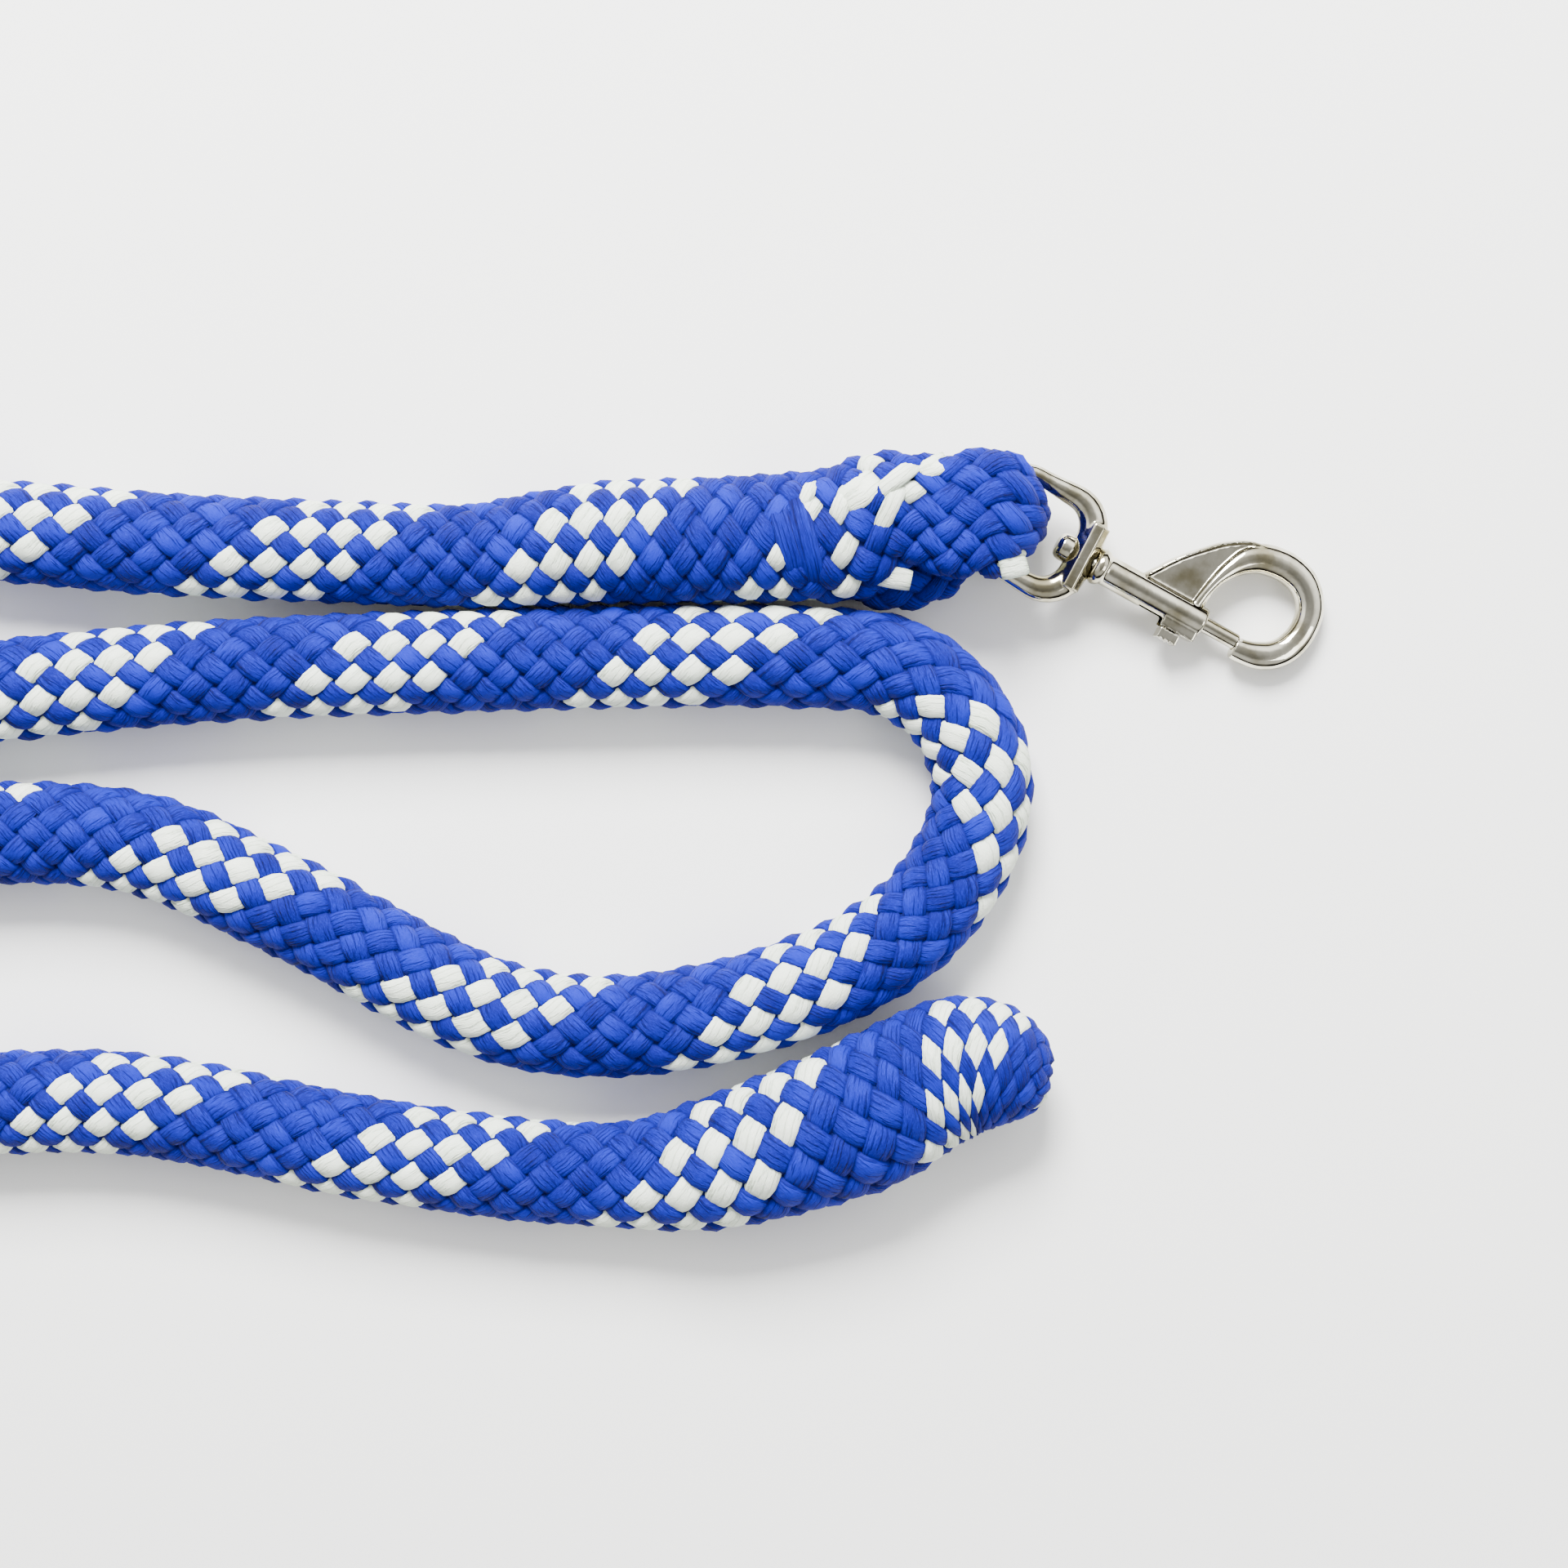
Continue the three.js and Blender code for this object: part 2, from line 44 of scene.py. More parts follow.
# Camera, straight above the snap's end of the lead

camera = {
    "over": (0.1145, 0.00574),
    "height": 0.6504,
    "lens": 60,
    "sensor": 36,
}


def makeCamera(settings):
    x, y = settings["over"]
    data = bpy.data.cameras.new("camera")
    data.lens = settings["lens"]
    data.sensor_width = settings["sensor"]
    made = bpy.data.objects.new("camera", data)
    made.location = (x, y, settings["height"])
    bpy.context.scene.collection.objects.link(made)
    bpy.context.scene.camera = made


makeCamera(camera)
print("camera placed")


# The rope's line on the floor, from the eye's mouth to the free end, and how thick it is along it

rope = {
    "route": [
        (132.5, 66.7), (98.5, 65.3), (70.5, 64.7), (40.5, 61.7), (6.5, 62.5), (-51.5, 65.5),
        (-127.5, 74.3), (-202.3, 90.9), (-227.1, 80.5), (-237.3, 55.7), (-227.1, 30.9),
        (-202.3, 20.5), (-101.5, 26.5), (-29.5, 33.1), (54.5, 36.3), (122.5, 36.7), (142.5, 33.9),
        (156.1, 24.1), (162.9, 7.7), (159.3, -10.3), (144.5, -29.9), (115.5, -45.1), (76.5, -53.3),
        (44.5, -49.9), (-9.5, -22.9), (-45.5, -8.3), (-101.5, -6.5), (-201.5, -8.3), (-225.5, -18.3),
        (-235.5, -42.1), (-225.5, -65.9), (-201.5, -75.9), (-89.5, -72.5), (-43.5, -72.7),
        (14.5, -83.7), (62.5, -89.5), (88.5, -88.7), (130.5, -76.1), (158.5, -62.9), (179.1, -65.8),
    ],
    "mouth": 6,
    # length from the mouth, width, height
    "swell": [(0, 34, 26), (14, 31.5, 25.4), (60, 30, 25.2), (96, 25.3, 21.2), (110, 25, 21)],
    # distance from the tip, width, height
    "tip": [
        (120, 25, 21), (108, 25.8, 21.4), (86, 31.6, 25.6), (66, 35, 27.6), (48, 36.8, 28), (34, 36.6, 28),
        (23, 36.6, 28), (16, 34.6, 27), (10, 30.4, 24.4), (5, 24.4, 19.6), (2, 18, 14.6), (0.5, 12.6, 10.4),
    ],
    # the turned-in end, behind the tip
    "dimple": [(0.6, 9, 7), (2.4, 6.4, 5), (6, 5, 4)],
    # the skin's rows: their gap, and the closer ones by the tip
    "gap": 4,
    "rowsAtTip": (18, 14, 11, 8.6, 6.5, 4.6, 3.2, 2, 1.1, 0.5),
    # the last stretch, whose middle stays level while it thins
    "level": 40,
    # length from the mouth and the turns of the braid up to there
    "turns": [
        (-200, -2.7), (-71, -1), (4, 0), (65, 1), (133.1, 2), (670.2, 9), (741.9, 10), (826.4, 11), (903.8, 12),
        (981.1, 13), (1056.3, 14), (1489.3, 20), (1565.5, 21), (1640.1, 22), (1690.5, 22.66), (1694, 22.76),
        (1708.5, 23.17), (1721.5, 23.54), (1742, 24.1),
    ],
    "smoothTurns": 12,
}

# The eye: x, y, middle's height, heading, width, height, from the lower leg's end to the upper leg's mouth

eye = {
    "bar": (165.6, 72.9, 14.15),
    "heading": -28,
    "lower": [
        (120.5, 64.6, 10, 8, 20, 8), (129, 63.2, 8.4, 6, 25, 10.4), (136, 62.2, 6.8, 4, 27.5, 12),
        (144.7, 62.2, 6.2, 2, 28, 12), (153.4, 64.2, 6.1, 0, 27, 11.8), (160.5, 66.8, 6.1, -12, 25, 11.6),
    ],
    # turn round the bar, distance from it, width, thickness, skew, slide along the bar
    "fold": [
        (-90, 8.3, 19, 11.4, 0, 0), (-60, 8.35, 18.8, 11.5, 0, 0), (-30, 8.5, 18.8, 11.8, 0, 0),
        (0, 8.7, 19.2, 12.2, 2, 0.3), (30, 8.9, 20.6, 12.6, 6, 0.7), (48, 9, 25, 12.9, 9, 1.2),
        (66, 9.05, 29.6, 13, 12, 1.8), (90, 9.05, 31.4, 13, 15, 2),
    ],
    "upper": [
        (160.8, 71.2, 22.8, 174, 31.4, 13.6), (153.8, 70, 21.7, 180, 30.6, 14), (147.7, 71.4, 20.2, 184, 28.4, 15),
        (142, 72.0, 18.2, 186, 29, 18), (137.5, 70.4, 16.2, 187, 31.5, 21), (132.6, 68.2, 14.4, 186, 33.5, 24),
    ],
}

braid = {
    "strands": 16,
    # the pairs of strands, out of eight, that are white
    "white": (1, 2, 3, 4),
    # one strand's top: how far it weaves up and down, its thickness, how square and long it is, its narrow ends
    "amp": 0.95,
    "thick": 1.5,
    "square": 2.5,
    "reach": 1.34,
    "spread": 1.0,
    "pinch": 0.13,
    "roundEnd": 0.14,
    # the skin's depth below the rope's outside, and the lowest height above the floor
    "inset": 1.75,
    "rest": 0.02,
    # a strand's usual width, and the least and most that one grows from it
    "cell": 4.4,
    "grow": (0.12, 1.25),
    "lean": 0.05,
    "widen": 0.03,
    "puff": 0.06,
    "along": 6,
    "across": 5,
    "columns": 96,
    "step": 1.0,
    # the texture's squares a side: the last row is white's, and the one before it ends with the inside's
    "cells": 4,
    "blueCells": 11,
    "seed": 7,
    "core": {"every": 4, "around": 24, "lift": 0.1},
}


def curveThrough(points, perSpan=24):
    points = np.array(points, float)
    before = np.vstack([2 * points[0] - points[1], points[:-1]])
    after = np.vstack([points[1:], 2 * points[-1] - points[-2]])
    out = []
    for i in range(len(points) - 1):
        p0, p1, p2, p3 = before[i], points[i], points[i + 1], after[i + 1]
        gaps = [max(np.linalg.norm(b - a) ** 0.5, 1e-6) for a, b in ((p0, p1), (p1, p2), (p2, p3))]
        t1 = ((p1 - p0) / gaps[0] - (p2 - p0) / (gaps[0] + gaps[1]) + (p2 - p1) / gaps[1]) * gaps[1]
        t2 = ((p2 - p1) / gaps[1] - (p3 - p1) / (gaps[1] + gaps[2]) + (p3 - p2) / gaps[2]) * gaps[1]
        u = np.arange(perSpan)[:, None] / perSpan
        out.append(p1 + t1 * u + (3 * p2 - 3 * p1 - 2 * t1 - t2) * u ** 2 + (2 * p1 - 2 * p2 + t1 + t2) * u ** 3)
    out.append(points[-1:])
    return np.vstack(out)


def lengths(points):
    return np.concatenate([[0], np.cumsum(np.linalg.norm(np.diff(points, axis=0), axis=1))])


def readAt(at, table, column):
    table = np.array(table, float)
    return np.interp(at, table[:, 0], table[:, column])


def unit(v):
    return v / np.maximum(np.linalg.norm(v, axis=-1, keepdims=True), 1e-12)


# The rope's width (1) or height (2) at a length from the mouth
def sizeAt(rope, s, total, column):
    if s < total / 2:
        return float(readAt(s, rope["swell"], column))
    return float(readAt(total - s, rope["tip"][::-1], column))


# A row of the rope's skin: middle, side, rise, half width, half height
def row(middle, heading, rise, width, height):
    ahead = np.array([math.cos(heading), math.sin(heading), 0])
    return np.concatenate([middle, np.cross(rise, ahead), rise, [width / 2, height / 2]])


def eyeRows(eye):
    up = np.array([0, 0, 1.0])
    rows = [row((x, y, z), math.radians(h), -up, w, t) for x, y, z, h, w, t in eye["lower"]]
    heading = math.radians(eye["heading"])
    ahead = np.array([math.cos(heading), math.sin(heading), 0])
    for turn, far, width, thick, skew, slide in eye["fold"]:
        a = math.radians(turn)
        outward = ahead * math.cos(a) + up * math.sin(a)
        line = heading + math.radians(skew)
        side = -np.array([-math.sin(line), math.cos(line), 0])
        middle = np.array(eye["bar"]) + outward * far + side * slide
        rows.append(np.concatenate([middle, side, outward, [width / 2, thick / 2]]))
    rows += [row((x, y, z), math.radians(h), up, w, t) for x, y, z, h, w, t in eye["upper"]]
    return rows


def ropeRows(rope):
    line = curveThrough(rope["route"])
    along = lengths(line)
    total = along[-1]
    up = np.array([0, 0, 1.0])
    nearTip = np.array(rope["rowsAtTip"])
    at = np.concatenate([np.arange(rope["mouth"], total - nearTip[0] - rope["gap"], rope["gap"]), total - nearTip])
    level = max(height for _, _, height in rope["tip"]) / 2
    rows = []

    def pointAt(place):
        return np.array([np.interp(place, along, line[:, k]) for k in (0, 1)])

    def add(s, place, width, height, middle):
        ahead = min(place + 1, total)
        nx, ny = pointAt(ahead) - pointAt(ahead - 2)
        rows.append((s, row((*pointAt(place), middle), math.atan2(ny, nx), up, width, height)))

    for s in at:
        width, height = (sizeAt(rope, s, total, k) for k in (1, 2))
        add(s, s, width, height, height / 2 if total - s > rope["level"] else level)
    for back, width, height in rope["dimple"]:
        add(total + back, total - back, width, height, level)
    return rows, total


# All rows of the tube, evenly spaced and closer at the tip, with the length along it measured from the mouth
def tubeRows(rope, eye, step):
    stretch, fineEnd = 50, 16
    front = eyeRows(eye)
    back, total = ropeRows(rope)
    middles = np.array([r[:3] for r in front] + [back[0][1][:3]])
    along = lengths(middles)
    starts = list(along[:-1] - along[-1] + back[0][0]) + [s for s, _ in back]
    rows = np.array(front + [r for _, r in back])
    key = np.array(starts)
    fine = curveThrough(np.column_stack([key * stretch, rows]), 8)
    s = np.maximum.accumulate(fine[:, 0] / stretch)
    keep = np.concatenate([[True], np.diff(s) > 1e-6])
    s, fine = s[keep], fine[keep, 1:]
    even = np.concatenate([np.arange(s[0], total - fineEnd, step), np.arange(total - fineEnd, s[-1], step / 4)])
    out = np.column_stack([np.interp(even, s, fine[:, k]) for k in range(fine.shape[1])])
    out[:, 3:6], out[:, 6:9] = unit(out[:, 3:6]), unit(out[:, 6:9])
    return even, out, total


class Tube:
    # a tube's skin as a grid of points, read at any length and turn
    def __init__(self, at, rows, inset, columns):
        middle, side, rise = rows[:, None, 0:3], rows[:, None, 3:6], rows[:, None, 6:9]
        least = 0.4
        half = np.maximum(rows[:, 9:11] - inset, rows[:, 9:11] * least)
        many = 4 * columns
        angle = np.arange(many + 1) * 2 * math.pi / many
        flat = np.stack([half[:, :1] * np.cos(angle), half[:, 1:] * np.sin(angle)], axis=2)
        steps = np.linalg.norm(np.diff(flat, axis=1), axis=2)
        run = np.concatenate([np.zeros((len(rows), 1)), np.cumsum(steps, axis=1)], axis=1)
        self.girth = run[:, -1]
        even = np.empty((len(rows), columns))
        share = np.arange(columns) / columns
        # a flat section has its strands evenly spaced, and a rounder one has them wider on top
        for i in range(len(rows)):
            evenness = np.interp(half[i, 1] / half[i, 0], [0.6, 0.8], [1, 0.3])
            even[i] = evenness * np.interp(share * self.girth[i], run[i], angle) + (1 - evenness) * share * 2 * math.pi
        cos, sin = np.cos(even)[:, :, None], np.sin(even)[:, :, None]
        self.at = at
        self.points = middle + half[:, :1, None] * cos * side + half[:, 1:, None] * sin * rise
        alongWay = np.gradient(self.points, axis=0)
        roundWay = np.roll(self.points, -1, axis=1) - np.roll(self.points, 1, axis=1)
        self.normals = unit(np.cross(roundWay, alongWay))
        outward = self.points - middle
        flip = (self.normals * outward).sum(axis=(1, 2)) < 0
        self.normals[flip] *= -1

    def read(self, s, turn):
        row = np.interp(s, self.at, np.arange(len(self.at)))
        low = np.minimum(row.astype(int), len(self.at) - 2)
        down = (row - low)[..., None]
        columns = self.points.shape[1]
        column = (turn % 1) * columns
        left = column.astype(int) % columns
        right = (left + 1) % columns
        over = (column - np.floor(column))[..., None]
        both = []
        for grid in (self.points, self.normals):
            near = grid[low, left] * (1 - over) + grid[low, right] * over
            far = grid[low + 1, left] * (1 - over) + grid[low + 1, right] * over
            both.append(near * (1 - down) + far * down)
        return both[0], unit(both[1])

    def girthAt(self, s):
        return np.interp(s, self.at, self.girth)


# The length at a row of the braid, and the row at a length
def rowMaps(rope, strands):
    table = np.array(rope["turns"], float)
    s = np.arange(table[0, 0], table[-1, 0], 1.0)
    turns = np.interp(s, table[:, 0], table[:, 1])
    pad = rope["smoothTurns"]
    kernel = np.hanning(2 * pad + 1)
    padded = np.pad(turns, pad, mode="reflect", reflect_type="odd")
    smooth = np.convolve(padded, kernel / kernel.sum(), mode="valid")
    return lambda m: np.interp((m - 1) / strands, smooth, s), lambda at: np.interp(at, s, smooth) * strands + 1


def cellUv(cell, across, along, cells):
    margin = 0.06
    col, up = cell % cells, cell // cells
    return (col + margin + (1 - 2 * margin) * across) / cells, (up + margin + (1 - 2 * margin) * along) / cells


# Where the tucked tail comes out, single white strands show and some strands lie over the braid
patches = {
    "from": -28,
    "to": 26,
    "white": [
        (139.4, 85.2), (123.6, 67.9), (130.8, 68.2), (130.6, 60.5), (115.4, 62.9), (111.1, 54.1), (128, 53.2),
        (160, 89.3), (144.4, 75.2),
    ],
    "shrink": 0.8,
    "within": 6,
    # start, end, width, white, rise
    "straps": [
        ((112.4, 74.4), (118, 54.6), 5.6, False, 0.1),
        ((117, 76), (122.8, 52.4), 5.4, False, 0.2),
        ((119, 72.6), (121.8, 79.6), 3.6, True, 0.4),
        ((128.8, 72.8), (136.8, 79.4), 8, True, 0.7),
        ((137.1, 66), (142.8, 77.8), 4.4, True, 0.6),
        ((136.8, 75), (146.8, 83), 4.6, True, 1.2),
        ((147, 80.2), (153.6, 83.4), 5.4, True, 0.2),
        ((166.2, 56.9), (173, 58.6), 5.4, True, 0.2),
        ((136.8, 56.4), (145.2, 54.8), 5.4, True, 0.3),
    ],
    # where a strap finds the skin under it: lengths, and how far up it has to face
    "bed": (-45, 60),
    "facing": 0.15,
    "strap": {"nearest": 5, "taper": 0.12, "lift": 0.4, "arch": 0.8, "fall": 1.1},
}


def strandBody(B, braid):
    return np.maximum(1 - np.abs(B) ** braid["square"], 0) ** (1 / braid["square"])


def strapPoints(tube, straps, A, B, braid):
    low, high = patches["bed"]
    shape = patches["strap"]
    up = (tube.normals[:, :, 2] > patches["facing"]) & (tube.at[:, None] > low) & (tube.at[:, None] < high)
    skin = tube.points[up]
    out = []
    for start, end, width, white, rise in straps:
        start, end = np.array(start), np.array(end)
        ahead = unit(end - start)
        side = np.array([-ahead[1], ahead[0]])
        half = np.linalg.norm(end - start) / 2
        aside = B * (1 - shape["taper"] * A ** 2) * width / 2
        flat = (start + end) / 2 + A[..., None] * half * ahead + aside[..., None] * side
        gaps = np.linalg.norm(skin[None, None, :, :2] - flat[:, :, None], axis=-1)
        near = np.argsort(gaps, axis=-1)[..., :shape["nearest"]]
        weight = 1 / (np.take_along_axis(gaps, near, -1) + 0.3) ** 2
        base = (skin[near][..., 2] * weight).sum(-1) / weight.sum(-1)
        arch = (shape["arch"] + rise) * np.cos(math.pi / 2 * A * shape["fall"])
        z = base + shape["lift"] + arch + braid["thick"] * strandBody(B, braid)
        out.append(np.concatenate([flat, z[..., None]], axis=-1))
    return np.array(out)


# The inside, under the strands: the inner yarn, coloured darker as painted shade in the gaps between strands
def corePart(tube, low, high, braid):
    core, cells = braid["core"], braid["cells"]
    around = core["around"]
    inside = tube.at[(tube.at >= low - 1) & (tube.at <= high + 1)][::core["every"]]
    S, T = np.meshgrid(inside, np.arange(around) / around, indexing="ij")
    points, normals = tube.read(S, T)
    points = points + normals * core["lift"]
    index = np.arange(len(inside) * around).reshape(len(inside), around)
    beside = np.roll(index, -1, axis=1)
    faces = np.stack([index[:-1], beside[:-1], beside[1:], index[1:]], axis=-1).reshape(-1, 4)
    uv = np.tile([(cells - 0.5) / cells, (cells - 1.5) / cells], (index.size, 1))
    return points.reshape(-1, 3), faces, uv


# The tops of the braid's strands between two lengths, as one mesh with its inside, coloured dark as painted shade in
# the gaps
def braidMesh(name, tube, braid, toLength, toRow, low, high, materials, straps=()):
    rng = np.random.default_rng(braid["seed"])
    strands = braid["strands"]
    m0, m1 = int(math.floor(toRow(low))) - 1, int(math.ceil(toRow(high))) + 1
    m, q = np.meshgrid(np.arange(m0, m1 + 1), np.arange(strands), indexing="ij")
    keep = (m + q) % 2 == 0
    m, q = m[keep], q[keep]
    s = toLength(m.astype(float))
    keep = (s >= low) & (s < high)
    m, q, s = m[keep], q[keep], s[keep]
    isB = q % 2 == 1
    white = isB & np.isin(((q + m) // 2) % (strands // 2), braid["white"])
    centre, facing = tube.read(s, q / strands)
    inPatches = (s > patches["from"]) & (s < patches["to"])
    near = np.zeros(len(m), bool)
    for x, y in patches["white"]:
        gaps = np.hypot(centre[:, 0] - x, centre[:, 1] - y) + np.where(isB & (facing[:, 2] > 0.1), 0, 100)
        near |= (gaps == gaps.min()) & (gaps < patches["within"])
    white = np.where(inPatches & (facing[:, 2] > 0), near, white)
    small = np.where(inPatches & near, patches["shrink"], 1)[:, None, None]
    ease = math.pi / 2 * 0.86
    a = np.sin(np.linspace(-1, 1, braid["along"] + 1) * ease) / math.sin(ease)
    b = np.sin(np.linspace(-1, 1, braid["across"] + 1) * math.pi / 2)
    A, B = np.meshgrid(a, b, indexing="ij")
    reach, spread = braid["reach"], braid["spread"]
    count = len(m)
    lean = rng.normal(0, braid["lean"], (count, 2))
    widen = 1 + rng.normal(0, braid["widen"], count)
    sign = np.where(isB, -1.0, 1.0)[:, None, None]
    width = B * spread * widen[:, None, None] * (1 - braid["pinch"] * np.abs(A) ** 2)
    length = toLength(m[:, None, None] + 0.5 * small * (A * reach + width))
    qq = q[:, None, None] + sign * 0.5 * small * (A * reach - width)
    pitch = toLength(m + 1.0) - toLength(m - 1.0)
    cell = np.minimum(tube.girthAt(s) / strands, pitch / 2)
    scale = np.clip(cell / braid["cell"], *braid["grow"])[:, None, None]
    wave = np.cos(math.pi / 2 * A * reach)
    puff = 1 + rng.normal(0, braid["puff"], count)[:, None, None]
    ends = 1 - braid["roundEnd"] + braid["roundEnd"] * np.cos(math.pi / 2 * A)
    lift = scale * (braid["amp"] * wave + braid["thick"] * puff * strandBody(B, braid) * ends)
    lift = lift + scale * (lean[:, :1, None] * A + lean[:, 1:, None] * B)
    points, normals = tube.read(length, qq / strands)
    points = points + normals * lift[..., None]
    points[..., 2] = np.maximum(points[..., 2], braid["rest"])
    if straps:
        over = strapPoints(tube, straps, A, B, braid)
        points = np.concatenate([points, over])
        white = np.concatenate([white, [strap[3] for strap in straps]])
        isB = np.concatenate([isB, np.ones(len(straps), bool)])
        count += len(straps)
    rows, cols = len(a), len(b)
    index = np.arange(rows * cols).reshape(rows, cols)
    quad = np.stack([index[:-1, :-1], index[1:, :-1], index[1:, 1:], index[:-1, 1:]], axis=-1).reshape(-1, 4)
    faces = quad[None] + (np.arange(count) * rows * cols)[:, None, None]
    faces[~isB] = faces[~isB][:, :, ::-1]
    faces = faces.reshape(-1, 4)
    slotOf = np.repeat(np.where(white, 1, 0), len(quad))
    cells = braid["cells"]
    whiteFrom = cells * (cells - 1)
    cellOf = np.where(white, whiteFrom + rng.integers(0, cells, count), rng.integers(0, braid["blueCells"], count))
    U, V = cellUv(cellOf[:, None, None], (B[None] + 1) / 2, (A[None] + 1) / 2, cells)
    U, V = (np.broadcast_to(w, (count, rows, cols)) for w in (U, V))
    verts = points.reshape(-1, 3)
    uv = np.stack([U.reshape(-1), V.reshape(-1)], axis=1)
    core, coreFaces, coreUv = corePart(tube, low, high, braid)
    faces = np.vstack([faces, coreFaces + len(verts)])
    verts = np.vstack([verts, core])
    uv = np.vstack([uv, coreUv])
    slotOf = np.concatenate([slotOf, np.full(len(coreFaces), 2)])
    return meshFrom(name, verts * mm, faces, uv, slotOf, materials)


def meshFrom(name, verts, faces, uv, slotOf, materials):
    mesh = bpy.data.meshes.new(name)
    mesh.vertices.add(len(verts))
    mesh.vertices.foreach_set("co", np.ascontiguousarray(verts, np.float32).ravel())
    sides = faces.shape[1]
    mesh.loops.add(len(faces) * sides)
    mesh.loops.foreach_set("vertex_index", faces.astype(np.int32).ravel())
    mesh.polygons.add(len(faces))
    mesh.polygons.foreach_set("loop_start", np.arange(0, len(faces) * sides, sides, dtype=np.int32))
    mesh.polygons.foreach_set("loop_total", np.full(len(faces), sides, np.int32))
    mesh.polygons.foreach_set("material_index", slotOf.astype(np.int32))
    mesh.polygons.foreach_set("use_smooth", np.ones(len(faces), bool))
    layer = mesh.uv_layers.new(name="OFBake")
    layer.data.foreach_set("uv", np.ascontiguousarray(uv[faces.ravel()], np.float32).ravel())
    for material in materials:
        mesh.materials.append(material)
    mesh.update()
    mesh.validate()
    made = bpy.data.objects.new(name, mesh)
    bpy.context.scene.collection.objects.link(made)
    return made


# Shader maths

class Shade:
    # one shader value, with arithmetic; numbers, triples and other values mix with it
    def __init__(self, tree, socket=None):
        self.tree = tree
        self.socket = socket

    def node(self, kind, settings=None, inputs=None, output=0):
        made = self.tree.nodes.new(kind)
        for name, value in (settings or {}).items():
            setattr(made, name, value)
        for key, value in (inputs or {}).items():
            if isinstance(value, Shade):
                self.tree.links.new(value.socket, made.inputs[key])
            else:
                made.inputs[key].default_value = value
        return Shade(self.tree, made.outputs[output] if made.outputs else None)

    def wide(self):
        return self.socket.type in ("VECTOR", "RGBA")

    def work(self, operation, first, second=0):
        if any(isinstance(v, Shade) and v.wide() for v in (first, second)):
            pair = [v if isinstance(v, (Shade, tuple)) else (v, v, v) for v in (first, second)]
            return self.node("ShaderNodeVectorMath", {"operation": operation}, dict(enumerate(pair)))
        return self.node("ShaderNodeMath", {"operation": operation}, dict(enumerate((first, second))))

    def __add__(self, other):
        return self.work("ADD", self, other)

    def __radd__(self, other):
        return self.work("ADD", other, self)

    def __sub__(self, other):
        return self.work("SUBTRACT", self, other)

    def __rsub__(self, other):
        return self.work("SUBTRACT", other, self)

    def __mul__(self, other):
        return self.work("MULTIPLY", self, other)

    def __rmul__(self, other):
        return self.work("MULTIPLY", other, self)

    def __truediv__(self, other):
        return self.work("DIVIDE", self, other)

    def __pow__(self, other):
        return self.work("POWER", self, other)

    def function(self, operation):
        return self.work(operation, self)

    def between(self, low, high, a, b):
        return self.node("ShaderNodeMapRange", {"interpolation_type": "SMOOTHSTEP"},
                         {"Value": self, "From Min": low, "From Max": high, "To Min": a, "To Max": b})

    def blend(self, first, second):
        return self.node("ShaderNodeMix", {"data_type": "RGBA"}, {0: self, 6: first, 7: second}, 2)

    def part(self, index):
        return self.node("ShaderNodeSeparateXYZ", inputs={0: self}, output=index)


def colour(r, g, b):
    def linear(v):
        v = v / 255
        return v / 12.92 if v <= 0.04045 else ((v + 0.055) / 1.055) ** 2.4
    return (linear(r), linear(g), linear(b), 1)


def newMaterial(name):
    material = bpy.data.materials.new(name)
    material.use_nodes = True
    material.node_tree.nodes.clear()
    return material, Shade(material.node_tree)


def surface(shade, inputs):
    skin = shade.node("ShaderNodeBsdfPrincipled", inputs=inputs)
    shade.node("ShaderNodeOutputMaterial", inputs={0: skin})


yarn = {
    # each yarn's dark tone is also the colour of the painted shade at its strands' sides and ends
    "blue": {"dark": (1, 2, 30), "mid": (3, 6, 104), "light": (14, 28, 160), "sheen": 0.02, "rough": 0.7},
    "white": {
        "dark": (140, 150, 130), "mid": (214, 224, 208), "light": (234, 241, 228), "sheen": 0.02, "rough": 0.75},
    "threads": 17,
    "hairs": 2.6,
    "wander": 0.22,
    "depth": 0.0003,
    "bump": 0.8,
    "shine": 0.12,
}


